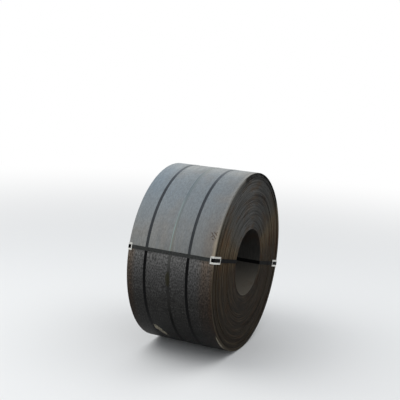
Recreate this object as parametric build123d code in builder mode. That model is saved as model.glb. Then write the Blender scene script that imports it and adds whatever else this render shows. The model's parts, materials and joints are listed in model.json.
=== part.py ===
from build123d import *
import math
import os

# A coil of hot-rolled steel strip, lying on its barrel, bound with flat steel straps.
# +X runs along the bore, +Y away from the front, +Z up. The origin is on the floor under the coil's centre.
# All sizes are in millimetres and all angles in degrees.

# The wound strip
strip_width = 1000.0
coil_diameter = 2050.0
bore_diameter = 762.0
rim_chamfer = 3.0
bore_chamfer = 1.5

# Groups of turns from the rim to the bore, each as its share of the wall and its share of the most
# that any has slid along the bore, so that it is sunk at one end and proud at the other
turn_slip = 3.0
turn_groups = [
    (0.05, 0.0),
    (0.05, 1.0),
    (0.08, -1.0),
    (0.20, 0.35),
    (0.24, -0.65),
    (0.24, 0.5),
    (0.14, 0.0),
]

# The lap on the back where the strip's tail ends and the turn below comes out from under it
strip_thickness = 3.0
tail_angle = 215.0
tail_run = 22.0

# Flat strapping: three straps around the barrel, and two through the bore that cross the front and the back
ring_strap_width = 32.0
eye_strap_width = 40.0
strap_thickness = 1.0
seat_gap = 0.3
left_strap_place = -286.0
middle_strap_place = 0.0
right_strap_place = 214.0
front_strap_angle = 13.8
back_strap_angle = front_strap_angle + 180
bore_bend = 5.0

# Bent plates between the eye straps and the outer rims, each with a raised frame that the strap is threaded through
guard_width = 80.0
guard_thickness = 1.5
guard_bend = 4.0
guard_barrel_leg = 42.0
guard_face_leg = 170.0
guard_rail = 9.0

# Crimped sleeves that close the straps, where each strap's two ends lie on each other
seal_length = 50.0
seal_thickness = 0.9
strap_end = 22.0
ring_seal_angle = 125.0

# The straps by name, with the end of the coil, left (-1) or right (1), that each eye strap is closed at
ring_straps = {"left": left_strap_place, "middle": middle_strap_place, "right": right_strap_place}
eye_straps = {"front": front_strap_angle, "back": back_strap_angle}
eye_seal_side = {"front": -1, "back": 1}

# Sizes that follow
coil_radius = coil_diameter / 2
bore_radius = bore_diameter / 2
wall = coil_radius - bore_radius
axis_height = coil_radius + seat_gap + strap_thickness
guard_seat = coil_radius + seat_gap
guard_face = strip_width / 2 + turn_slip + seat_gap
eye_strap_barrel = guard_seat + guard_thickness + seat_gap
eye_strap_face = guard_face + guard_thickness + seat_gap
eye_strap_bore = math.sqrt((bore_radius - seat_gap) ** 2 - (eye_strap_width / 2) ** 2)
bar_lift = guard_thickness + seat_gap + strap_thickness + seat_gap
frame_height = bar_lift + guard_thickness
lap_length = seal_length + 2 * strap_end
seal_inner_height = 2 * strap_thickness + seat_gap
seal_outer_height = seal_inner_height + seal_thickness

axis_point = Vector(0, 0, axis_height)
bore_axis = Axis(axis_point, (1, 0, 0))


def outward(angle):
    """The direction away from the bore axis, 0 being the front, 90 the top and 180 the back."""
    turn = math.radians(angle)
    return Vector(0, -math.cos(turn), math.sin(turn))


def section_plane(angle):
    """The half section at an angle: local X runs along the bore and local Y outwards."""
    along = Vector(1, 0, 0)
    return Plane(origin=axis_point, x_dir=along, z_dir=along.cross(outward(angle)))


def finish(part, name):
    """Label a finished piece and write it."""
    part.label = name
    export_step(part, f"parts/{name}.step")


os.makedirs("parts", exist_ok=True)

# The coil: each group of turns is as long as the strip is wide
with BuildPart() as coil:
    with BuildSketch(section_plane(90)) as turns:
        outer = coil_radius
        for share, slip in turn_groups:
            depth = share * wall
            with Locations((slip * turn_slip, outer - depth / 2)):
                Rectangle(strip_width, depth)
            outer -= depth
        chamfer(turns.vertices().group_by(Axis.Y)[-1], rim_chamfer)
        chamfer(turns.vertices().group_by(Axis.Y)[0], bore_chamfer)
    revolve(axis=bore_axis)
    # The lap: from the tail's edge the turn below rises back to the full radius
    with BuildSketch(Plane.YZ) as lap:
        with BuildLine():
            tail_edge = axis_point + outward(tail_angle) * coil_radius
            tail_foot = axis_point + outward(tail_angle) * (coil_radius - strip_thickness)
            run_middle = axis_point + outward(tail_angle + tail_run / 2) * (coil_radius - strip_thickness / 2)
            run_end = axis_point + outward(tail_angle + tail_run) * coil_radius
            rim_middle = axis_point + outward(tail_angle + tail_run / 2) * (coil_radius + strip_thickness)
            Line((tail_edge.Y, tail_edge.Z), (tail_foot.Y, tail_foot.Z))
            ThreePointArc((tail_foot.Y, tail_foot.Z), (run_middle.Y, run_middle.Z), (run_end.Y, run_end.Z))
            ThreePointArc((run_end.Y, run_end.Z), (rim_middle.Y, rim_middle.Z), (tail_edge.Y, tail_edge.Z))
        make_face()
    extrude(amount=strip_width, both=True, mode=Mode.SUBTRACT)
finish(coil.part, "coil")

# Straps around the barrel, which the coil also lies on, each with its ends lapped under the seal
lap_turn = math.degrees(lap_length / coil_radius)
for side, place in ring_straps.items():
    with BuildPart() as ring_strap:
        with BuildSketch(section_plane(90)):
            with Locations((place, guard_seat + strap_thickness / 2)):
                Rectangle(ring_strap_width, strap_thickness)
        revolve(axis=bore_axis)
        with BuildSketch(section_plane(ring_seal_angle + lap_turn / 2)):
            with Locations((place, guard_seat + strap_thickness)):
                Rectangle(ring_strap_width, 2 * strap_thickness)
        revolve(axis=bore_axis, revolution_arc=lap_turn)
    finish(ring_strap.part, f"ring_strap_{side}")


def eye_loop(grown):
    """The loop an eye strap makes around the coil's wall, grown outwards by a distance."""
    with BuildSketch() as loop:
        with Locations((0, (eye_strap_barrel + eye_strap_bore) / 2)):
            Rectangle(2 * (eye_strap_face + grown), eye_strap_barrel - eye_strap_bore + 2 * grown)
        fillet(loop.vertices().group_by(Axis.Y)[-1], guard_bend + guard_thickness + seat_gap + grown)
        fillet(loop.vertices().group_by(Axis.Y)[0], bore_bend + grown)
    return loop.sketch


# Straps through the bore, over the guards and the ring straps, lapped where they cross an end of the coil
for side, angle in eye_straps.items():
    toward = eye_seal_side[side]
    with BuildPart() as eye_strap:
        with BuildSketch(section_plane(angle)):
            add(eye_loop(strap_thickness))
            add(eye_loop(0), mode=Mode.SUBTRACT)
            with Locations((toward * (eye_strap_face + strap_thickness), (coil_radius + bore_radius) / 2)):
                Rectangle(2 * strap_thickness, lap_length)
        extrude(amount=eye_strap_width / 2, both=True)
    finish(eye_strap.part, f"eye_strap_{side}")


def angle_section(toward, thickness):
    """A bent section over one outer rim, at the left (-1) or right (1) end."""
    barrel_end = (toward * (guard_face - guard_barrel_leg), guard_seat)
    corner = (toward * guard_face, guard_seat)
    face_end = (toward * guard_face, guard_seat - guard_face_leg)
    with BuildSketch() as section:
        with BuildLine():
            FilletPolyline(barrel_end, corner, face_end, radius=guard_bend)
            offset(amount=thickness, side=Side.LEFT if toward > 0 else Side.RIGHT)
        make_face()
    return section.sketch


# Guards: a bent plate turned about the bore and trimmed to its width, two rails and a bar across each end
for side, angle in eye_straps.items():
    for end, toward in {"left": -1, "right": 1}.items():
        reach = math.degrees(guard_width / (coil_radius - guard_face_leg))
        with BuildPart() as guard:
            with BuildSketch(section_plane(angle + reach)):
                add(angle_section(toward, guard_thickness))
            revolve(axis=bore_axis, revolution_arc=2 * reach)
            with BuildSketch(section_plane(angle)):
                with Locations((0, coil_radius)):
                    Rectangle(2 * coil_diameter, coil_diameter)
            extrude(amount=guard_width / 2, both=True, mode=Mode.INTERSECT)
            rail_place = (guard_width - guard_rail) / 2
            with BuildSketch(
                section_plane(angle).offset(-rail_place),
                section_plane(angle).offset(rail_place),
            ):
                add(angle_section(toward, frame_height))
            extrude(amount=guard_rail / 2, both=True)
            with BuildSketch(section_plane(angle)):
                with Locations((toward * (guard_face - guard_barrel_leg + guard_rail / 2), guard_seat + bar_lift)):
                    Rectangle(guard_rail, guard_thickness, align=(Align.CENTER, Align.MIN))
                bar_middle = guard_face + bar_lift + guard_thickness / 2
                with Locations((toward * bar_middle, guard_seat - guard_face_leg + guard_rail / 2)):
                    Rectangle(guard_thickness, guard_rail)
            extrude(amount=guard_width / 2, both=True)
        finish(guard.part, f"rim_guard_{side}_{end}")

# Seals on the ring straps: a channel over the strap, turned about the bore
for side, place in ring_straps.items():
    seal_turn = math.degrees(seal_length / coil_radius)
    with BuildPart() as ring_seal:
        with BuildSketch(section_plane(ring_seal_angle + seal_turn / 2)):
            with Locations((place, guard_seat)):
                Rectangle(
                    ring_strap_width + 2 * seat_gap + 2 * seal_thickness,
                    seal_outer_height,
                    align=(Align.CENTER, Align.MIN),
                )
                Rectangle(
                    ring_strap_width + 2 * seat_gap,
                    seal_inner_height,
                    align=(Align.CENTER, Align.MIN),
                    mode=Mode.SUBTRACT,
                )
        revolve(axis=bore_axis, revolution_arc=seal_turn)
    finish(ring_seal.part, f"seal_ring_{side}")

# Seals on the eye straps: the same channel, straight, where the strap crosses an end of the coil
for side, angle in eye_straps.items():
    toward = eye_seal_side[side]
    radial = outward(angle)
    foot = axis_point + radial * ((coil_radius + bore_radius - seal_length) / 2)
    foot += Vector(toward * eye_strap_face, 0, 0)
    with BuildPart() as eye_seal:
        with BuildSketch(Plane(origin=foot, x_dir=(toward, 0, 0), z_dir=radial)):
            Rectangle(
                seal_outer_height,
                eye_strap_width + 2 * seat_gap + 2 * seal_thickness,
                align=(Align.MIN, Align.CENTER),
            )
            Rectangle(
                seal_inner_height,
                eye_strap_width + 2 * seat_gap,
                align=(Align.MIN, Align.CENTER),
                mode=Mode.SUBTRACT,
            )
        extrude(amount=seal_length)
    finish(eye_seal.part, f"seal_eye_{side}")
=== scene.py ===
import json
import math

import bpy
import numpy as np
from mathutils import Matrix, Vector


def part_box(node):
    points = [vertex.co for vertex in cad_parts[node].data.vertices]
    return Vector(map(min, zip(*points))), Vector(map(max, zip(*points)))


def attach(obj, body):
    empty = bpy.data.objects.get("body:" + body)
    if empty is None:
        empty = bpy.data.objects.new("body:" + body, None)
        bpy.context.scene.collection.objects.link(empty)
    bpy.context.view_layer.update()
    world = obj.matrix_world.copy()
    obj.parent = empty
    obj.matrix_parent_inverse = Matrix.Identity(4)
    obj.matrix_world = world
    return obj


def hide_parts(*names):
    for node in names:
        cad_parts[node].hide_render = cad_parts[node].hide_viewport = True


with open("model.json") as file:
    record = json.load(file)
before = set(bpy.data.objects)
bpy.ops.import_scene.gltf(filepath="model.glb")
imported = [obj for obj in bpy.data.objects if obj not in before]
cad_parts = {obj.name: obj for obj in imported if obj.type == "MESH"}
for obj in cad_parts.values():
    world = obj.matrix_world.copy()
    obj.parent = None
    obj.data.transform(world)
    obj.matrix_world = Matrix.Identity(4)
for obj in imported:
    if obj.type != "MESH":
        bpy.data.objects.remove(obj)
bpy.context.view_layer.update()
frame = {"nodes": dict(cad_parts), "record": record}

# All sizes are in metres. Angles around the bore are in degrees, 0 being the front, 90 the top and 180 the
# back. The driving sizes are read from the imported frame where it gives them.
bore_mount = next(mount for mount in frame["record"]["mounts"] if mount["name"] == "bore")
axis_height = bore_mount["pos_m"][2]
bore_radius = bore_mount["dims"]["r_mm"] / 1000
barrel_low, barrel_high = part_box("coil")
coil_radius = round((barrel_high[1] - barrel_low[1]) / 2, 3)
# The coil's box takes in the turns that have slid furthest, at both ends
turn_slip = 0.003
strip_width = round(barrel_high[0] - barrel_low[0] - 2 * turn_slip, 3)
rim_chamfer = 0.003
bore_chamfer = 0.0015
strip_thickness = 0.003
wall = coil_radius - bore_radius

# Where the strip's two ends lie, how far around the step beside each takes to close, and how far around the
# step itself is drawn
tail_angle = 215.0
tail_run = 22.0
tail_step = 0.03
inner_tail_angle = 330.0
inner_tail_run = 40.0
inner_tail_step = 0.05

# Groups of turns from the rim to the bore: share of the wall, and share of the most any slides along the bore
turn_groups = [
    (0.05, 0.0),
    (0.05, 1.0),
    (0.08, -1.0),
    (0.20, 0.35),
    (0.24, -0.65),
    (0.24, 0.5),
    (0.14, 0.0),
]

# The turns drawn at each end: their number, the share of their group's slide that they keep, and how far the
# first is tucked in below the rim. Waves, each by its height, pace and shift, space them unevenly from rim to
# bore and let them wander along the bore.
turns_drawn = 44
group_slide_share = 0.85
rim_tuck = 0.0002
spacing_waves = [(0.012, 9.0, 0.0), (0.004, 41.0, 1.0)]
wander_waves = [(0.0007, 2.39, 0.0), (0.0005, 5.03, 0.6)]

# Near the top some turns close to the rim have worked loose and are drawn in at the end faces, as a dark
# groove: the number of each from the rim, with its share of the groove's depth
groove_turns = {0: 1.0, 1: 0.6, 2: 0.25}
groove_angle = 113.0
groove_reach = 39.0
groove_depth = 0.024
groove_below_rim = 0.020
groove_waves = [(0.2, 0.61, 0.0), (0.1, 1.9, 0.0)]

# Straps: a ring strap's upper end climbs over its lower one within so many degrees. The two eye straps lie
# opposite each other, and dust lies on the barrel only above them.
strap_thickness = 0.001
strap_ease = 0.0003
strap_end = 0.022
strap_climb = 0.6
strap_stations = 360
eye_strap_width = 0.040
seat_gap = 0.0003
front_strap_rise = 13.8
back_strap_rise = front_strap_rise - 180

# Seals: their bends are eased, with a middle point that is a share of the ease in from the corner. Notches
# are pressed into their long edges. A notch deepens over a share of its half length, and towards the edge
# over a share of its margin.
ring_seal_angle = 125.0
seal_length = 0.050
seal_thickness = 0.0009
seal_inner_height = 0.0023
seal_ease = 0.0008
seal_ease_middle = 0.3
seal_stations = 21
crimp_places = (-0.0125, 0.0125)
crimp_half = 0.0035
crimp_depth = 0.0008
crimp_ramp = 0.4
crimp_margin = 0.0075
crimp_margin_ramp = 0.6
crimp_faces = 5

# Edges that turn by more than this are drawn sharp
sharp_angle = 35.0

# Camera: the photograph's viewpoint, its place in lengths of the coil's radius
view_place = Vector((3.570, -8.184, 3.396)) * coil_radius
view_yaw = math.radians(-24.385)
view_pitch = math.radians(11.16)
view_roll = math.radians(3.13)
view_focal_px = 811.0
picture_px = 400
sensor_mm = 36.0
view_end = 400

# The floor's tone as the camera sees it and as it lights the coil, and where it fades to white
floor_half = 120
floor_seen = (0.80, 0.80, 0.79, 1)
floor_lighting = (0.16, 0.16, 0.16, 1)
fade_start = 3.0
fade_end = 13.0

# Light: an even pale sky, and soft lamps by place, size and power
sky_color = (0.93, 0.96, 1.0, 1)
sky_strength = 0.75
soft_lamps = [
    ((-3.5, -2.5, 7.0), 6.0, 260.0),
    ((4.0, 3.0, 6.5), 5.0, 120.0),
]


def add_camera():
    forward = Vector((math.sin(view_yaw) * math.cos(view_pitch),
                      math.cos(view_yaw) * math.cos(view_pitch),
                      -math.sin(view_pitch)))
    level_right = Vector((math.cos(view_yaw), -math.sin(view_yaw), 0))
    level_up = level_right.cross(forward)
    right = level_right * math.cos(view_roll) + level_up * math.sin(view_roll)
    up = level_up * math.cos(view_roll) - level_right * math.sin(view_roll)
    data = bpy.data.cameras.new("camera")
    data.sensor_width = sensor_mm
    data.lens = view_focal_px / picture_px * sensor_mm
    data.clip_end = view_end
    camera = bpy.data.objects.new("camera", data)
    turned_axes = Matrix((right, up, -forward)).transposed().to_4x4()
    camera.matrix_world = Matrix.Translation(view_place) @ turned_axes
    bpy.context.collection.objects.link(camera)
    bpy.context.scene.camera = camera


add_camera()


def linear(red, green, blue):
    """A colour written in display values, 255 being white, as the linear values that shaders take."""
    values = []
    for part in (red, green, blue):
        value = part / 255
        values.append(value / 12.92 if value <= 0.04045 else ((value + 0.055) / 1.055) ** 2.4)
    return (*values, 1.0)


class Graph:
    """A material's nodes, built by short calls."""

    def __init__(self, name):
        self.material = bpy.data.materials.new(name)
        self.material.use_nodes = True
        self.nodes = self.material.node_tree.nodes
        self.links = self.material.node_tree.links
        self.shader = self.nodes["Principled BSDF"]
        self.place = self.nodes.new("ShaderNodeTexCoord").outputs["Object"]
        split = self.nodes.new("ShaderNodeSeparateXYZ")
        self.links.new(self.place, split.inputs[0])
        self.along, self.depth, height = split.outputs
        # Around the bore's axis: height above it, distance from it and angle in radians
        self.lift = self.math("SUBTRACT", height, axis_height)
        square = self.math("ADD", self.times(self.depth, self.depth), self.times(self.lift, self.lift))
        self.radius = self.math("SQRT", square)
        self.rise = self.math("ARCTAN2", self.lift, self.times(self.depth, -1.0))
        # 0 straight below the axis, 0.5 beside it and 1 straight above it
        self.facing_up = self.math("MULTIPLY_ADD", self.math("DIVIDE", self.lift, self.radius), 0.5, 0.5)

    def put(self, socket, value):
        if isinstance(value, bpy.types.NodeSocket):
            self.links.new(value, socket)
        else:
            socket.default_value = value

    def math(self, operation, first, second=0.0, third=0.0):
        node = self.nodes.new("ShaderNodeMath")
        node.operation = operation
        for socket, value in zip(node.inputs, (first, second, third)):
            self.put(socket, value)
        return node.outputs[0]

    def times(self, first, *others):
        """The product of two or more values."""
        for other in others:
            first = self.math("MULTIPLY", first, other)
        return first

    def larger(self, first, second):
        return self.math("MAXIMUM", first, second)

    def vector(self, x, y, z):
        node = self.nodes.new("ShaderNodeCombineXYZ")
        for socket, value in zip(node.inputs, (x, y, z)):
            self.put(socket, value)
        return node.outputs[0]

    def noise_at(self, vector, detail, roughness):
        node = self.nodes.new("ShaderNodeTexNoise")
        self.put(node.inputs["Vector"], vector)
        node.inputs["Scale"].default_value = 1.0
        node.inputs["Detail"].default_value = detail
        node.inputs["Roughness"].default_value = roughness
        return node.outputs[0]

    def noise(self, along, across, detail=3, roughness=0.55):
        """Noise over the object, by how quickly it changes along the bore and across it."""
        node = self.nodes.new("ShaderNodeVectorMath")
        node.operation = "MULTIPLY"
        self.put(node.inputs[0], self.place)
        node.inputs[1].default_value = (along, across, across)
        return self.noise_at(node.outputs[0], detail, roughness)

    def span(self, value, low, high, to_low=0.0, to_high=1.0, smooth=True):
        """Carries a value from one span to another, held at its ends."""
        node = self.nodes.new("ShaderNodeMapRange")
        node.interpolation_type = "SMOOTHSTEP" if smooth else "LINEAR"
        self.put(node.inputs["Value"], value)
        node.inputs["From Min"].default_value = low
        node.inputs["From Max"].default_value = high
        node.inputs["To Min"].default_value = to_low
        node.inputs["To Max"].default_value = to_high
        return node.outputs["Result"]

    def by_angle(self, low, high, to_low=0.0, to_high=1.0):
        """Carries the angle around the bore from a span in degrees to another, held at its ends."""
        return self.span(self.rise, math.radians(low), math.radians(high), to_low, to_high)

    def mix(self, share, first, second, blend="MIX"):
        node = self.nodes.new("ShaderNodeMix")
        node.data_type = "RGBA"
        node.blend_type = blend
        self.put(node.inputs["Factor"], share)
        self.put(node.inputs[6], first)
        self.put(node.inputs[7], second)
        return node.outputs[2]

    def blotch(self, color, noise, low, high, share, tone):
        """A colour that takes on another tone, up to a share, as noise goes from one level to another."""
        return self.mix(self.span(noise, low, high, 0.0, share), color, tone)

    def tint(self, color, tone):
        return self.mix(1.0, color, tone, "MULTIPLY")

    def shade(self, color, level):
        """A colour made lighter or darker."""
        return self.tint(color, self.vector(level, level, level))

    def ramp(self, value, stops):
        node = self.nodes.new("ShaderNodeValToRGB")
        self.put(node.inputs[0], value)
        elements = node.color_ramp.elements
        elements[0].position, elements[0].color = stops[0]
        elements[1].position, elements[1].color = stops[-1]
        for position, color in stops[1:-1]:
            elements.new(position).color = color
        return node.outputs[0]

    def bump(self, height, distance, after=None):
        node = self.nodes.new("ShaderNodeBump")
        node.inputs["Distance"].default_value = distance
        self.put(node.inputs["Height"], height)
        if after is not None:
            self.links.new(after, node.inputs["Normal"])
        return node.outputs[0]

    def finish(self, color, roughness, specular, normal=None):
        self.put(self.shader.inputs["Base Color"], color)
        self.put(self.shader.inputs["Roughness"], roughness)
        self.shader.inputs["Specular IOR Level"].default_value = specular
        if normal is not None:
            self.links.new(normal, self.shader.inputs["Normal"])
        return self.material


def above_straps(graph, blur=0.006):
    """1 on the side of the eye straps that dust settles on and 0 under them, blurred by so many radians."""
    front = math.radians(front_strap_rise)
    back = math.radians(back_strap_rise)
    over_front = graph.span(graph.rise, front - blur, front + blur)
    over_back = graph.span(graph.rise, back + blur, back - blur)
    return graph.larger(over_front, over_back)


def barrel_tone_with_painted_light(graph):
    """Bare mill scale: dusty above the eye straps and dark under them, each paler the more it faces up,
    partly as painted light.
    """
    # Painted sky reflection: bluer towards the top, with a painted highlight at the very top
    upper = graph.ramp(graph.facing_up, [
        (0.60, linear(138, 137, 132)), (0.70, linear(138, 138, 135)), (0.79, linear(125, 130, 132)),
        (0.90, linear(115, 124, 130)), (0.955, linear(122, 130, 135)), (0.985, linear(137, 143, 146)),
        (1.0, linear(156, 158, 156)),
    ])
    # Darker towards the bottom: partly dirt and partly painted shade
    lower = graph.ramp(graph.facing_up, [
        (0.0, linear(14, 13, 12)), (0.18, linear(20, 19, 17)), (0.36, linear(49, 48, 46)),
        (0.50, linear(77, 76, 75)), (0.60, linear(100, 99, 97)),
    ])
    return upper, lower, above_straps(graph)


def stain(graph, along, rise, half_along, half_rise, ragged=0.6, lean=0.0):
    """A soft-edged patch on the barrel at a place along it and an angle around it, broken up by noise.

    It leans along the barrel by so many metres for each radian around it.
    """
    above = graph.math("SUBTRACT", graph.rise, math.radians(rise))
    leaning = graph.math("MULTIPLY_ADD", above, -lean, graph.along)
    across = graph.math("DIVIDE", graph.math("SUBTRACT", leaning, along), half_along)
    around = graph.math("DIVIDE", above, math.radians(half_rise))
    square = graph.math("ADD", graph.times(across, across), graph.times(around, around))
    broken = graph.math("SUBTRACT", graph.noise(38, 24, detail=4, roughness=0.65), 0.5)
    uneven = graph.math("MULTIPLY_ADD", broken, 4.0 * ragged, square)
    return graph.span(uneven, 1.15, 0.45)


# An oily patch in the middle of the front, on the barrel and on the strap there
oil = linear(52, 50, 36)


def oily_patch(graph):
    return graph.times(stain(graph, -0.008, -2.0, 0.030, 5.0), 0.8)


# Pale scuffs low on the barrel: place along it, angle, half size along it and around it, raggedness and lean
scuffs = [
    (-0.208, -47.0, 0.034, 7.0, 0.45, -0.32),
    (-0.270, -42.0, 0.020, 4.5, 0.45, -0.32),
    (0.490, -50.0, 0.011, 11.0, 0.35, 0.0),
]

# Scratches beside the right rim: their middle along the barrel and around it, and for each its place across
# and up from there, its turn in degrees and its half length
scratches_place = 0.443
scratches_rise = 28.0
scratches = [
    (0.018, 0.022, -39, 0.032),
    (-0.014, 0.014, -46, 0.030),
    (-0.012, -0.010, 38, 0.024),
    (0.018, -0.018, -50, 0.024),
    (0.002, -0.040, -12, 0.014),
    (0.030, 0.036, 52, 0.012),
]
scratch_half_width = 0.0045
scratch_wobble = 0.014


def scratch(graph, place, up, turn, half_length):
    """A thin uneven line on the barrel."""
    across = graph.math("SUBTRACT", graph.along, scratches_place + place)
    middle_up = math.radians(scratches_rise) * coil_radius + up
    above = graph.math("MULTIPLY_ADD", graph.rise, coil_radius, -middle_up)
    cosine, sine = math.cos(math.radians(turn)), math.sin(math.radians(turn))
    down_line = graph.math("MULTIPLY_ADD", across, cosine, graph.times(above, sine))
    off_line = graph.math("MULTIPLY_ADD", across, -sine, graph.times(above, cosine))
    wobble = graph.math("SUBTRACT", graph.noise(45, 45, detail=1), 0.5)
    off_line = graph.math("ABSOLUTE", graph.math("MULTIPLY_ADD", wobble, scratch_wobble, off_line))
    near = graph.span(off_line, scratch_half_width * 1.6, scratch_half_width * 0.5)
    return graph.times(near, graph.span(graph.math("ABSOLUTE", down_line), half_length, half_length * 0.6))


def dusty_scale(graph, upper, fine_streak, broad_streak, speck, fleck):
    """The dusty part: darker to the right, streaks, warm clouds, dark specks and fine mottling."""
    # Darker and greyer to the right, less so at the very top
    darker_rightward = graph.span(graph.along, -0.28, 0.40, 0.0, 0.45, smooth=False)
    darker_rightward = graph.times(darker_rightward, graph.span(graph.facing_up, 0.999, 0.975, 0.3, 1.0))
    upper = graph.mix(darker_rightward, upper, linear(102, 106, 108))
    upper = graph.blotch(upper, broad_streak, 0.35, 0.7, 0.5, linear(113, 119, 122))
    upper = graph.blotch(upper, fine_streak, 0.45, 0.8, 0.34, linear(150, 152, 150))
    upper = graph.blotch(upper, graph.noise(2.6, 2.6), 0.5, 0.75, 0.35, linear(128, 122, 114))
    upper = graph.blotch(upper, speck, 0.55, 0.85, 0.45, linear(84, 86, 86))
    # Rough scale near the right rim
    rough = graph.times(graph.span(graph.along, 0.40, 0.47), graph.span(fleck, 0.52, 0.66, 0.0, 0.5))
    upper = graph.mix(rough, upper, linear(88, 84, 78))
    grain = graph.noise(72, 30, roughness=0.7)
    return graph.shade(upper, graph.span(grain, 0.34, 0.66, 0.88, 1.12))


def dark_scale(graph, lower, fleck):
    """The dark part: paler and darker scale, and finer and stronger mottling than on the dusty part."""
    pale_fleck = graph.mix(1.0, lower, linear(188, 188, 188), "ADD")
    lower = graph.blotch(lower, fleck, 0.52, 0.80, 0.16, pale_fleck)
    lower = graph.blotch(lower, fleck, 0.48, 0.28, 0.60, linear(20, 20, 20))
    grain = graph.noise(88, 44, detail=2, roughness=0.6)
    return graph.shade(lower, graph.span(grain, 0.36, 0.64, 0.56, 1.48))


def with_rust(graph, color, dust, broad_streak):
    """Rust brown near the rims, strongest on the dark part, and in a broad band at the right."""
    near_rim = graph.span(graph.math("ABSOLUTE", graph.along), 0.39, 0.48, 0.0, 0.9)
    right_band = graph.span(graph.along, 0.30, 0.42, 0.0, 0.6)
    streaks = graph.span(broad_streak, 0.25, 0.65, 0.55, 1.0)
    on_dust = graph.times(graph.span(graph.facing_up, 0.93, 0.71, 0.15, 0.6),
                          graph.span(graph.along, -0.10, 0.20))
    under_dust = graph.mix(dust, (1.0, 1.0, 1.0, 1.0), on_dust)
    rust = graph.times(graph.larger(near_rim, right_band), streaks, under_dust)
    brown = graph.mix(graph.span(graph.facing_up, 0.22, 0.52), linear(262, 200, 146), linear(258, 214, 170))
    return graph.mix(rust, color, graph.tint(color, brown))


def with_rim_dust_and_highlight(graph, color, dust, speck):
    """Beige dust and a painted highlight along the right rim, above the strap, with an uneven inner edge."""
    uneven = graph.math("SUBTRACT", graph.noise(20, 11, roughness=0.7), 0.5)
    dust_edge = graph.math("MULTIPLY_ADD", uneven, 0.08, graph.along)
    rim = graph.span(dust_edge, strip_width / 2 - 0.045, strip_width / 2 - 0.008, 0.0, 0.6)
    specked = graph.span(speck, 0.35, 0.60, 0.6, 1.0)
    lower_down = graph.span(graph.facing_up, 0.84, 0.68, 0.6, 1.25)
    beige = graph.mix(graph.span(graph.facing_up, 0.84, 0.68), linear(150, 146, 138), linear(172, 159, 138))
    return graph.mix(graph.times(rim, specked, lower_down, dust), color, beige)


def with_marks(graph, color, fleck):
    """The oily patch in the middle, rusty scratches near the right rim and pale scuffs low down."""
    color = graph.mix(oily_patch(graph), color, oil)
    scratched = 0.0
    for place, up, turn, half_length in scratches:
        scratched = graph.larger(scratched, scratch(graph, place, up, turn, half_length))
    color = graph.mix(graph.times(scratched, 0.85), color, linear(66, 50, 36))
    scuffed = 0.0
    for scuff in scuffs:
        scuffed = graph.larger(scuffed, stain(graph, *scuff))
    scuffed = graph.times(scuffed, graph.span(fleck, 0.40, 0.54, 0.2, 1.0))
    return graph.mix(scuffed, color, linear(196, 187, 164))


def barrel_material():
    graph = Graph("mill_scale_barrel")
    # Circumferential streaks: quick change along the bore, slow change around it
    fine_streak = graph.noise(330, 14, detail=4, roughness=0.6)
    broad_streak = graph.noise(26, 1.6)
    speck = graph.noise(120, 90, roughness=0.7)
    fleck = graph.noise(105, 44, detail=4, roughness=0.7)
    upper, lower, dust = barrel_tone_with_painted_light(graph)
    upper = dusty_scale(graph, upper, fine_streak, broad_streak, speck, fleck)
    color = graph.mix(dust, dark_scale(graph, lower, fleck), upper)
    color = with_rust(graph, color, dust, broad_streak)
    color = with_rim_dust_and_highlight(graph, color, dust, speck)
    # A bluer cast towards the left rim
    leftward = graph.span(graph.along, -0.25, -0.42)
    bluish = graph.times(leftward, graph.span(graph.facing_up, 0.86, 0.95, 0.2, 1.0), dust)
    color = graph.mix(bluish, color, graph.tint(color, linear(251, 256, 261)))
    color = with_marks(graph, color, fleck)
    roughness = graph.span(fine_streak, 0.3, 0.7, 0.42, 0.6)
    normal = graph.bump(fleck, 0.0007, after=graph.bump(fine_streak, 0.0004))
    return graph.finish(color, roughness, specular=0.12, normal=normal)


def bore_material():
    graph = Graph("mill_scale_bore")
    streak = graph.noise(90, 8, detail=4, roughness=0.6)
    # Inside the bore the floor of it faces up, so dust lies low
    low_side = graph.span(graph.facing_up, 0.45, 0.05)
    bare_wall = graph.mix(graph.span(streak, 0.35, 0.7), linear(52, 51, 49), linear(66, 64, 60))
    color = graph.mix(graph.times(low_side, 0.7), bare_wall, linear(104, 98, 88))
    color = graph.blotch(color, graph.noise(5, 5), 0.5, 0.75, 0.5, linear(72, 56, 44))
    return graph.finish(color, 0.55, specular=0.12, normal=graph.bump(streak, 0.0005))


def along_turns(graph, across, around, detail=3, roughness=0.6):
    """Noise on the coil's ends drawn out along the turns."""
    vector = graph.vector(graph.times(graph.radius, across),
                          graph.times(graph.math("DIVIDE", graph.depth, graph.radius), around),
                          graph.times(graph.math("DIVIDE", graph.lift, graph.radius), around))
    return graph.noise_at(vector, detail, roughness)


def edge_tone(graph, fine, turn_line):
    """The strip's edges: brown low down and grey on top, darker low down partly as painted shade, with pale,
    dark and rusty lines along the turns.
    """
    # Darker low down, partly as painted shade
    color = graph.ramp(graph.facing_up, [
        (0.05, linear(27, 22, 16)), (0.30, linear(32, 26, 18)), (0.50, linear(46, 37, 25)),
        (0.60, linear(67, 55, 38)), (0.72, linear(90, 79, 61)), (0.80, linear(84, 80, 72)),
        (0.92, linear(81, 81, 79)),
    ])
    color = graph.blotch(color, along_turns(graph, 30, 1.4), 0.35, 0.68, 0.4, linear(44, 38, 30))
    added = graph.mix(graph.span(graph.facing_up, 0.72, 0.84), linear(82, 71, 54), linear(80, 78, 74))
    paler = graph.mix(1.0, color, added, "ADD")
    color = graph.blotch(color, turn_line, 0.50, 0.66, 0.45, paler)
    color = graph.blotch(color, turn_line, 0.46, 0.34, 0.75, linear(21, 17, 13))
    color = graph.blotch(color, fine, 0.5, 0.8, 0.40, paler)
    color = graph.blotch(color, fine, 0.45, 0.25, 0.6, linear(23, 19, 14))
    rust = along_turns(graph, 9, 3.2, detail=5, roughness=0.62)
    return graph.blotch(color, rust, 0.46, 0.66, 0.7, graph.tint(color, linear(246, 208, 172)))


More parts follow.
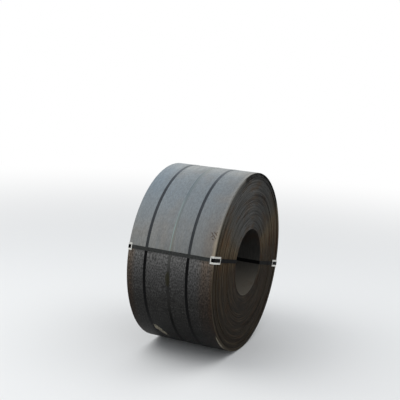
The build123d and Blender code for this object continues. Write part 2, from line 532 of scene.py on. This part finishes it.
def end_rim_dust_and_highlight(graph, fine):
    """The share of dust and painted highlight on the outer edge of the rim, thickest on the upper half."""
    from_rim = graph.math("SUBTRACT", coil_radius, graph.radius)
    dust_width = graph.span(graph.facing_up, 0.83, 0.93, 0.036, 0.046)
    rim = graph.span(graph.math("DIVIDE", from_rim, dust_width), 1.0, 0.13)
    higher_up = graph.span(graph.facing_up, 0.45, 0.68, 0.15, 0.9)
    return graph.times(rim, higher_up, graph.span(fine, 0.30, 0.60, 0.75, 1.0))


def groove_dark(graph, fine, turn_line):
    """How dark it is in the loosened turns' groove, where no light reaches, and in dashes beside it."""
    from_groove = graph.math("ABSOLUTE", graph.math("SUBTRACT", graph.radius, coil_radius - groove_below_rim))
    from_middle = graph.math("ABSOLUTE", graph.math("SUBTRACT", graph.rise, math.radians(groove_angle)))
    dashes = graph.larger(graph.span(turn_line, 0.54, 0.46),
                          graph.span(along_turns(graph, 75, 7.0, detail=2), 0.53, 0.43))
    inside = graph.larger(graph.span(from_groove, 0.028, 0.015),
                          graph.times(graph.span(from_groove, 0.070, 0.035), dashes))
    reach = math.radians(groove_reach)
    near_middle = graph.span(from_middle, reach, reach * 0.85)
    return graph.times(inside, near_middle, graph.span(fine, 0.3, 0.6, 1.0, 0.75))


def turns_relief(graph, fine, turn_line):
    """The spiral of turns, one strip's thickness apart, then uneven and fine lines along them."""
    turn_count = graph.math("DIVIDE", graph.radius, strip_thickness)
    spiral = graph.math("ADD", turn_count, graph.math("DIVIDE", graph.rise, 2 * math.pi))
    normal = graph.bump(graph.math("PINGPONG", spiral, 0.5), 0.0008)
    normal = graph.bump(turn_line, 0.0030, after=normal)
    return graph.bump(fine, 0.0006, after=normal)


def end_material():
    """The strip's cut edges, turn on turn, with rust and shadow lying along the turns."""
    graph = Graph("turned_end")
    fine = along_turns(graph, 300, 2.2, roughness=0.65)
    turn_line = along_turns(graph, 105, 1.3, detail=2)
    color = edge_tone(graph, fine, turn_line)
    # The outermost turns stand apart from each other, with painted shade in the gaps as dark uneven lines
    outer_turns = graph.span(graph.radius, coil_radius - 0.070, coil_radius - 0.020)
    gap = graph.times(outer_turns, graph.span(along_turns(graph, 120, 1.1, detail=1), 0.50, 0.60), 0.8)
    color = graph.mix(gap, color, linear(16, 14, 13))
    # Painted shade darkens the back of the upper half
    past_top = graph.times(graph.by_angle(88, 112), graph.by_angle(165, 140))
    color = graph.shade(color, graph.math("MULTIPLY_ADD", past_top, -0.44, 1.0))
    # Dust and a painted highlight on the rim's outer edge, paler higher up
    higher_up = graph.span(graph.facing_up, 0.70, 0.88)
    rim_dust_and_highlight = graph.mix(higher_up, linear(150, 141, 121), linear(158, 156, 149))
    color = graph.mix(end_rim_dust_and_highlight(graph, fine), color, rim_dust_and_highlight)
    color = graph.mix(groove_dark(graph, fine, turn_line), color, linear(9, 8, 7))
    return graph.finish(color, 0.6, specular=0.04, normal=turns_relief(graph, fine, turn_line))


def black_strap_material():
    """Black paint, greyed by dust above the eye straps, with a painted reflection paler and bluer towards the
    top.
    """
    graph = Graph("black_strap")
    wear = graph.noise(75, 75, detail=4, roughness=0.65)
    drift = graph.noise(5, 5, detail=2)
    lit = graph.times(above_straps(graph, 0.02), graph.span(drift, 0.3, 0.7, 0.8, 1.0))
    # Dust, with a painted reflection paler and bluer towards the top
    dusty_and_sheen = graph.ramp(graph.facing_up, [
        (0.62, linear(64, 66, 67)), (0.76, linear(58, 61, 64)), (0.90, linear(55, 59, 64)),
        (0.955, linear(68, 73, 78)), (0.985, linear(92, 97, 102)), (1.0, linear(108, 112, 114)),
    ])
    color = graph.mix(lit, linear(4, 4, 5), dusty_and_sheen)
    color = graph.blotch(color, wear, 0.58, 0.8, 0.25, linear(88, 76, 62))
    roughness = graph.span(wear, 0.3, 0.7, 0.35, 0.55)
    return graph.finish(color, roughness, specular=0.07, normal=graph.bump(wear, 0.0002))


def eye_strap_material():
    """Worn black paint, grey where the strap lies on the barrel; near the rims and on the coil's ends it is
    black, as painted shade.
    """
    graph = Graph("black_eye_strap")
    wear = graph.noise(60, 75, detail=4, roughness=0.65)
    # Black near the rims and on the coil's ends, as painted shade
    from_middle = graph.math("ABSOLUTE", graph.along)
    on_barrel = graph.span(from_middle, strip_width / 2 - 0.050, strip_width / 2 - 0.030, 1.0, 0.0)
    on_barrel = graph.times(on_barrel, graph.math("GREATER_THAN", graph.radius, coil_radius))
    worn = graph.mix(graph.span(wear, 0.35, 0.7), linear(50, 51, 50), linear(72, 73, 71))
    color = graph.mix(on_barrel, linear(15, 15, 15), worn)
    color = graph.blotch(color, wear, 0.62, 0.8, 0.3, linear(88, 72, 54))
    roughness = graph.span(wear, 0.3, 0.7, 0.5, 0.65)
    return graph.finish(color, roughness, specular=0.02, normal=graph.bump(wear, 0.0002))


def edge_highlight_and_shade(graph, color, dust):
    """The middle strap's left edge: a painted highlight in patches just above the eye strap, and a painted
    shade line higher up.
    """
    left_edge = graph.times(graph.span(graph.along, -0.004, -0.010), dust)
    patches = graph.span(graph.noise(3, 3, detail=2), 0.35, 0.6, 0.5, 1.0)
    bright = graph.times(left_edge, graph.by_angle(54, 40), graph.by_angle(10, 15), patches, 0.8)
    color = graph.mix(bright, color, linear(146, 168, 164))
    dull = graph.times(left_edge, graph.by_angle(44, 54), graph.by_angle(96, 70, 0.3, 1.0), 0.6)
    return graph.mix(dull, color, linear(84, 96, 104))


def bare_strap_material():
    """Bare steel of nearly the coil's own tone, darker low down as painted shade, with a painted highlight
    along one edge.
    """
    graph = Graph("bare_strap")
    wear = graph.noise(75, 30, detail=4, roughness=0.65)
    upper, lower, dust = barrel_tone_with_painted_light(graph)
    shadow = graph.ramp(graph.facing_up, [
        (0.21, linear(20, 20, 20)), (0.25, linear(50, 50, 50)), (0.32, linear(245, 245, 245)),
        (0.38, linear(255, 255, 255)), (0.465, linear(170, 170, 168)), (0.55, linear(215, 215, 213)),
    ])
    dark = graph.mix(oily_patch(graph), graph.tint(lower, shadow), oil)
    color = graph.mix(dust, dark, graph.tint(upper, linear(238, 239, 234)))
    color = edge_highlight_and_shade(graph, color, dust)
    color = graph.blotch(color, wear, 0.58, 0.8, 0.3, linear(96, 88, 76))
    roughness = graph.span(wear, 0.3, 0.7, 0.35, 0.55)
    return graph.finish(color, roughness, specular=0.05, normal=graph.bump(wear, 0.0002))


def bare_seal_material():
    """Bright zinc-dull sheet steel with grime in it."""
    graph = Graph("bare_seal")
    wear = graph.noise(70, 70, detail=4, roughness=0.6)
    color = graph.mix(graph.span(wear, 0.4, 0.7), linear(124, 127, 128), linear(104, 103, 99))
    roughness = graph.span(wear, 0.3, 0.7, 0.35, 0.5)
    return graph.finish(color, roughness, specular=0.3, normal=graph.bump(wear, 0.0001))


def crimp_material():
    """Painted shade in the notches of a seal."""
    graph = Graph("seal_notch")
    wear = graph.noise(200, 200, detail=2)
    color = graph.mix(graph.span(wear, 0.4, 0.7), linear(8, 8, 8), linear(24, 21, 18))
    return graph.finish(color, 0.7, specular=0.05)


def guard_material():
    """White paint with grime and fine scratches."""
    graph = Graph("white_guard")
    grime = graph.noise(34, 34, detail=4)
    fine_scratch = graph.noise(160, 30, roughness=0.7)
    color = graph.blotch(linear(238, 237, 230), grime, 0.40, 0.75, 0.45, linear(176, 168, 152))
    color = graph.blotch(color, fine_scratch, 0.62, 0.85, 0.7, linear(120, 112, 100))
    return graph.finish(color, 0.5, specular=0.4, normal=graph.bump(fine_scratch, 0.0002))


def assign(piece, material):
    piece.data.materials.clear()
    piece.data.materials.append(material)


def new_piece(name, points, faces):
    mesh = bpy.data.meshes.new(name)
    mesh.from_pydata([tuple(point) for point in points], [], faces)
    mesh.validate()
    mesh.update()
    mesh.shade_smooth()
    mesh.set_sharp_from_angle(angle=math.radians(sharp_angle))
    piece = bpy.data.objects.new(name, mesh)
    bpy.context.collection.objects.link(piece)
    return piece


# Angles all the way round, one degree apart, with a second one at each tail's edge so that its step is sharp
around = np.sort(np.append(np.arange(360.0), (tail_angle - tail_step, inner_tail_angle + inner_tail_step)))
count = len(around)


def on_axis(x, radius, angle):
    """Points at a place along the bore's axis, a distance from it and an angle around it."""
    turn = np.radians(angle)
    return np.stack([np.broadcast_to(x, angle.shape),
                     -radius * np.cos(turn),
                     axis_height + radius * np.sin(turn)], axis=1)


def lap_depth(angle):
    """How far the outer surface is sunk past the strip's tail."""
    past = angle - tail_angle
    return np.where((past >= 0) & (past < tail_run), strip_thickness * (1 - past / tail_run), 0.0)


def inner_lap_depth(angle):
    """How far the bore's surface is set back behind the strip's inner end."""
    past = (inner_tail_angle - angle) % 360
    return np.where(past < inner_tail_run, strip_thickness * (1 - past / inner_tail_run), 0.0)


def add_waves(start, waves, value):
    """Adds waves, each by its height, pace and shift, to a start."""
    return sum((height * np.sin(pace * value + shift) for height, pace, shift in waves), start)


def spiral_radius(turn):
    """The outer edge of the strip after a number of drawn turns, unevenly spaced from rim to bore."""
    first, here, last = (add_waves(share, spacing_waves, share) for share in (0.0, turn / turns_drawn, 1.0))
    even = (here - first) / (last - first)
    return coil_radius - rim_chamfer - even * (wall - rim_chamfer - bore_chamfer)


group_edges = np.cumsum([0.0] + [share for share, slip in turn_groups])
group_slides = np.array([slip * turn_slip for share, slip in turn_groups])


def turn_slide(turn):
    """How far the strip has slid along the bore after a number of drawn turns."""
    share = (coil_radius - spiral_radius(turn)) / wall
    group = np.clip(np.searchsorted(group_edges, share, side="right") - 1, 0, len(group_slides) - 1)
    slide = group_slides[group] * group_slide_share + add_waves(0.0, wander_waves, turn)
    return np.clip(slide, -turn_slip, turn_slip)


def groove(turn, angle):
    """How deep a loosened turn is drawn in."""
    along = np.clip(1 - ((angle - groove_angle) / groove_reach) ** 2, 0, 1)
    along = along * add_waves(1.0, groove_waves, angle)
    loosened = sum(share * (np.floor(turn) == number) for number, share in groove_turns.items())
    return groove_depth * along * loosened


def spiral_edge(toward):
    """The strip's edge at one end, a spiral from the rim to the bore: its outer line and its inner line."""
    steps = np.arange(turns_drawn * count + 1)
    angle = around[steps % count]
    turn = steps // count + angle / 360
    near_rim = np.clip(1 - turn, 0, 1)
    outer_radius = spiral_radius(turn) - near_rim * 0.5 * lap_depth(angle) - near_rim * rim_tuck
    inner_radius = spiral_radius(np.minimum(turn + 1, turns_drawn))
    inner_radius = inner_radius + np.where(turn >= turns_drawn - 1, inner_lap_depth(angle), 0.0)
    slide = turn_slide(turn)
    slide = np.where(turn < 1, slide * turn, slide)
    edge_x = toward * strip_width / 2 + slide - toward * groove(turn, angle)
    return on_axis(edge_x, outer_radius, angle), on_axis(edge_x, inner_radius, angle)


class CoilMesh:
    """The coil's points and faces, and which of its three materials each face takes."""

    barrel, end, bore = 0, 1, 2

    def __init__(self):
        self.points = []
        self.faces = []
        self.kinds = []

    def add_points(self, rows):
        start = sum(len(block) for block in self.points)
        self.points.append(rows)
        return start + np.arange(len(rows))

    def add_face(self, corners, kind, flip):
        self.faces.append(tuple(int(corner) for corner in (reversed(corners) if flip else corners)))
        self.kinds.append(kind)

    def join(self, first, second, kind, flip):
        """Quads between two rings that close on themselves."""
        for step in range(count):
            after = (step + 1) % count
            self.add_face((first[step], first[after], second[after], second[step]), kind, flip)

    def add_turns(self, rim, bore_rim, toward):
        """The drawn turns at one end, between the outer rim and the bore's."""
        outer, inner = (self.add_points(line) for line in spiral_edge(toward))
        last = (turns_drawn - 1) * count
        quads = []
        for step in range(count):
            after = (step + 1) % count
            quads.append((rim[step], rim[after], outer[step + 1], outer[step]))
            quads.append((inner[last + step], inner[last + step + 1], bore_rim[after], bore_rim[step]))
        for step in range(last + count):
            quads.append((outer[step], outer[step + 1], inner[step + 1], inner[step]))
        # Each turn's inner line is joined to the next turn's outer line, which has slid by another distance
        for step in range(last):
            quads.append((inner[step], inner[step + 1], outer[step + 1 + count], outer[step + count]))
        # The strip's two ends close the gaps left beside the rims
        quads.append((outer[0], inner[0], outer[count], rim[0]))
        quads.append((inner[last], bore_rim[0], inner[-1], outer[-1]))
        for quad in quads:
            self.add_face(quad, self.end, toward > 0)

    def add_end(self, toward):
        """One end of the coil with its rims. It returns the rings where the barrel and the bore start."""
        face_x = toward * strip_width / 2
        barrel_x = toward * (strip_width / 2 - rim_chamfer)
        bore_x = toward * (strip_width / 2 - bore_chamfer)
        sunk = lap_depth(around)
        set_back = inner_lap_depth(around)
        barrel_ring = self.add_points(on_axis(barrel_x, coil_radius - sunk, around))
        rim = self.add_points(on_axis(face_x, coil_radius - rim_chamfer - sunk / 2, around))
        bore_rim = self.add_points(on_axis(face_x, bore_radius + bore_chamfer + set_back, around))
        bore_ring = self.add_points(on_axis(bore_x, bore_radius + set_back, around))
        self.add_turns(rim, bore_rim, toward)
        self.join(barrel_ring, rim, self.barrel, toward > 0)
        self.join(bore_rim, bore_ring, self.bore, toward > 0)
        return barrel_ring, bore_ring


def add_coil():
    shell = CoilMesh()
    left_barrel, left_bore = shell.add_end(-1)
    right_barrel, right_bore = shell.add_end(1)
    shell.join(right_barrel, left_barrel, shell.barrel, False)
    shell.join(left_bore, right_bore, shell.bore, False)
    coil = new_piece("coil_of_strip", np.concatenate(shell.points), shell.faces)
    coil.data.materials.append(barrel_material())
    coil.data.materials.append(end_material())
    coil.data.materials.append(bore_material())
    coil.data.polygons.foreach_set("material_index", shell.kinds)
    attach(coil, "root")
    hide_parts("coil")


add_coil()

black = black_strap_material()
eye_black = eye_strap_material()
bare = bare_strap_material()
guard_paint = guard_material()
bare_seal = bare_seal_material()
crimp = crimp_material()


def tube_faces(stations, corners):
    """Faces between closed rows of points, one row at each station, with a cap at each end."""
    faces = []
    for station in range(stations - 1):
        here = station * corners
        beyond = here + corners
        for corner in range(corners):
            after = (corner + 1) % corners
            faces.append((here + corner, here + after, beyond + after, beyond + corner))
    faces.append(tuple(reversed(range(corners))))
    faces.append(tuple((stations - 1) * corners + corner for corner in range(corners)))
    return faces


def add_ring_strap(side, material):
    """A flat strap once around the barrel, its two ends lapped under the seal, with its long edges eased."""
    low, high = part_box(f"ring_strap_{side}")
    place = (low[0] + high[0]) / 2
    half = (high[0] - low[0]) / 2
    section = [
        (-half, strap_ease), (-half, strap_thickness - strap_ease),
        (-half + strap_ease, strap_thickness), (half - strap_ease, strap_thickness),
        (half, strap_thickness - strap_ease), (half, strap_ease),
        (half - strap_ease, 0.0), (-half + strap_ease, 0.0),
    ]
    # The upper end climbs over the lower one just before the lap, and stays above it to its own end
    lap_turn = math.degrees((seal_length + 2 * strap_end) / coil_radius)
    run = np.append(np.linspace(0, 360 - strap_climb, strap_stations), (360, 360 + lap_turn))
    climb = np.clip((run - 360 + strap_climb) / strap_climb, 0, 1) * strap_thickness
    base = coil_radius + seat_gap + climb
    angle = ring_seal_angle - lap_turn / 2 + run
    rows = np.stack([on_axis(place + x, base + height, angle) for x, height in section], axis=1)
    strap = new_piece(f"strap_around_{side}", rows.reshape(-1, 3), tube_faces(len(run), len(section)))
    assign(strap, material)
    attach(strap, "root")
    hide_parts(f"ring_strap_{side}")


add_ring_strap("left", black)
add_ring_strap("middle", bare)
add_ring_strap("right", black)


def held(value):
    """A value held between 0 and 1."""
    return min(1.0, max(0.0, value))


def mirrored(corners):
    """A section's corners on its other side, in reversed order."""
    return [(-across, up) for across, up in reversed(corners)]


def seal_section(half):
    """A seal's corners across it: the outer side's from left to right, and the inner side's back again."""
    top = seal_inner_height + seal_thickness
    bend = seal_ease * seal_ease_middle
    outer = [(-half, 0.0), (-half, top - seal_ease), (-half + bend, top - bend), (-half + seal_ease, top)]
    margin_corners = (1 - crimp_margin_ramp, 1 - crimp_margin_ramp / 2, 1.0)
    outer += [(-half + crimp_margin * share, top) for share in margin_corners]
    outer += [(0.0, top)] + mirrored(outer)
    inner = [(half - seal_thickness, 0.0), (half - seal_thickness, seal_inner_height)]
    return outer, inner + mirrored(inner)


def seal_places():
    """Places along a seal, some of them where its notches' ramps start and end."""
    ramp_ends = (-1.0, crimp_ramp - 1, 1 - crimp_ramp, 1.0)
    even = np.linspace(-seal_length / 2, seal_length / 2, seal_stations)
    ramped = [place + reach * crimp_half for place in crimp_places for reach in ramp_ends]
    return np.sort(np.append(even, ramped))


def pressed(along):
    """How far a seal's long edges are pressed in at a place along it, as a share."""
    return held(max((crimp_half - abs(along - place)) / (crimp_half * crimp_ramp) for place in crimp_places))


def add_seal(node, to_world, strap_width, material, slot):
    """A sleeve open towards the coil, with two notches pressed into each of its long edges and painted dark
    as shade.
    """
    half = strap_width / 2 + seat_gap + seal_thickness
    outer, inner = seal_section(half)
    stations = seal_places()
    points = []
    for along in stations:
        for across, up in outer:
            near_edge = held((abs(across) - (half - crimp_margin)) / (crimp_margin * crimp_margin_ramp))
            dent = crimp_depth * pressed(along) * near_edge
            points.append(to_world(along, across - math.copysign(dent, across), max(0.0, up - dent)))
        points += [to_world(along, across, up) for across, up in inner]
    corners = len(outer) + len(inner)
    last_outer = len(outer) - 1
    # The notches' faces take the painted shade: the first few and the last few of the outer side, where it is
    # pressed in
    kinds = []
    for here, beyond in zip(stations, stations[1:]):
        in_notch = min(pressed(here), pressed(beyond)) > 0.5
        for corner in range(corners):
            at_edge = corner < crimp_faces or last_outer - crimp_faces <= corner < last_outer
            kinds.append(int(at_edge and in_notch))
    seal = new_piece(f"crimped_{node}", points, tube_faces(len(stations), corners))
    seal.data.materials.append(material)
    seal.data.materials.append(crimp)
    seal.data.polygons.foreach_set("material_index", kinds + [0, 0])
    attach(seal, "root")
    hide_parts(node)


def on_ring(place):
    """From a place along a ring strap at its seal, across it and up from the barrel, to the world."""
    def to_world(along, across, up):
        angle = math.radians(ring_seal_angle) + along / coil_radius
        radius = coil_radius + seat_gap + up
        return (place + across, -radius * math.cos(angle), axis_height + radius * math.sin(angle))
    return to_world


def on_end(rise, toward):
    """From a place along an eye strap at its seal, across it and away from the coil's end, to the world."""
    low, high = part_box("seal_eye_front" if toward < 0 else "seal_eye_back")
    foot = high[0] if toward < 0 else low[0]
    outwards = Vector((0, -math.cos(math.radians(rise)), math.sin(math.radians(rise))))
    across_way = outwards.cross(Vector((toward, 0, 0)))
    middle = Vector((foot, 0, axis_height)) + outwards * (coil_radius + bore_radius) / 2

    def to_world(along, across, up):
        return middle + outwards * along + across_way * across + Vector((toward * up, 0, 0))
    return to_world


for side in ("left", "middle", "right"):
    low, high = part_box(f"ring_strap_{side}")
    look, slot = (bare_seal, "bare_seal") if side == "middle" else (eye_black, "black_seal")
    add_seal(f"seal_ring_{side}", on_ring((low[0] + high[0]) / 2), high[0] - low[0], look, slot)
add_seal("seal_eye_front", on_end(front_strap_rise, -1), eye_strap_width, eye_black, "black_seal")
add_seal("seal_eye_back", on_end(back_strap_rise, 1), eye_strap_width, eye_black, "black_seal")

for name, node in frame["nodes"].items():
    if name.startswith("eye_strap"):
        assign(node, eye_black)
    if name.startswith("rim_guard"):
        assign(node, guard_paint)


def seen_by(tree, other_ray):
    """1 for what the camera sees straight or by another kind of ray, 0 for what only lights the coil."""
    path = tree.nodes.new("ShaderNodeLightPath")
    seen = tree.nodes.new("ShaderNodeMath")
    seen.operation = "ADD"
    seen.use_clamp = True
    tree.links.new(path.outputs["Is Camera Ray"], seen.inputs[0])
    tree.links.new(path.outputs[other_ray], seen.inputs[1])
    return seen.outputs[0]


def add_stage():
    """A plain pale floor, seen paler than it lights the object and fading to white far from it."""
    graph = Graph("pale_floor")
    seen = seen_by(graph.material.node_tree, "Is Glossy Ray")
    graph.finish(graph.mix(seen, floor_lighting, floor_seen), 0.9, specular=0.1)
    distance = graph.nodes.new("ShaderNodeVectorMath")
    distance.operation = "LENGTH"
    graph.put(distance.inputs[0], graph.place)
    far = graph.span(distance.outputs["Value"], fade_start, fade_end)
    white = graph.nodes.new("ShaderNodeEmission")
    both = graph.nodes.new("ShaderNodeMixShader")
    parts = (graph.times(far, seen), graph.shader.outputs[0], white.outputs[0])
    for socket, value in zip(both.inputs, parts):
        graph.put(socket, value)
    graph.put(graph.nodes["Material Output"].inputs["Surface"], both.outputs[0])
    corners = [(-floor_half, -floor_half, 0), (floor_half, -floor_half, 0),
               (floor_half, floor_half, 0), (-floor_half, floor_half, 0)]
    floor = new_piece("floor", corners, [(0, 1, 2, 3)])
    assign(floor, graph.material)


def add_sky():
    """A sky that lights the coil evenly and is itself seen white."""
    world = bpy.data.worlds.new("studio")
    bpy.context.scene.world = world
    world.use_nodes = True
    nodes = world.node_tree.nodes
    links = world.node_tree.links
    sky = nodes["Background"]
    sky.inputs["Color"].default_value = sky_color
    sky.inputs["Strength"].default_value = sky_strength
    white = nodes.new("ShaderNodeBackground")
    white.inputs["Color"].default_value = (1, 1, 1, 1)
    white.inputs["Strength"].default_value = 1.0
    mix = nodes.new("ShaderNodeMixShader")
    links.new(seen_by(world.node_tree, "Is Transmission Ray"), mix.inputs[0])
    links.new(sky.outputs[0], mix.inputs[1])
    links.new(white.outputs[0], mix.inputs[2])
    links.new(mix.outputs[0], nodes["World Output"].inputs["Surface"])


def add_soft_lamps():
    """Large soft lamps, aimed at the middle of the bore."""
    for place, size, power in soft_lamps:
        data = bpy.data.lights.new("soft_light", "AREA")
        data.size = size
        data.energy = power
        lamp = bpy.data.objects.new("soft_light", data)
        lamp.location = place
        aim = Vector((0, 0, axis_height)) - Vector(place)
        lamp.rotation_euler = aim.to_track_quat("-Z", "Y").to_euler()
        bpy.context.collection.objects.link(lamp)


add_stage()
add_sky()
add_soft_lamps()
bpy.context.scene.view_settings.view_transform = "Standard"
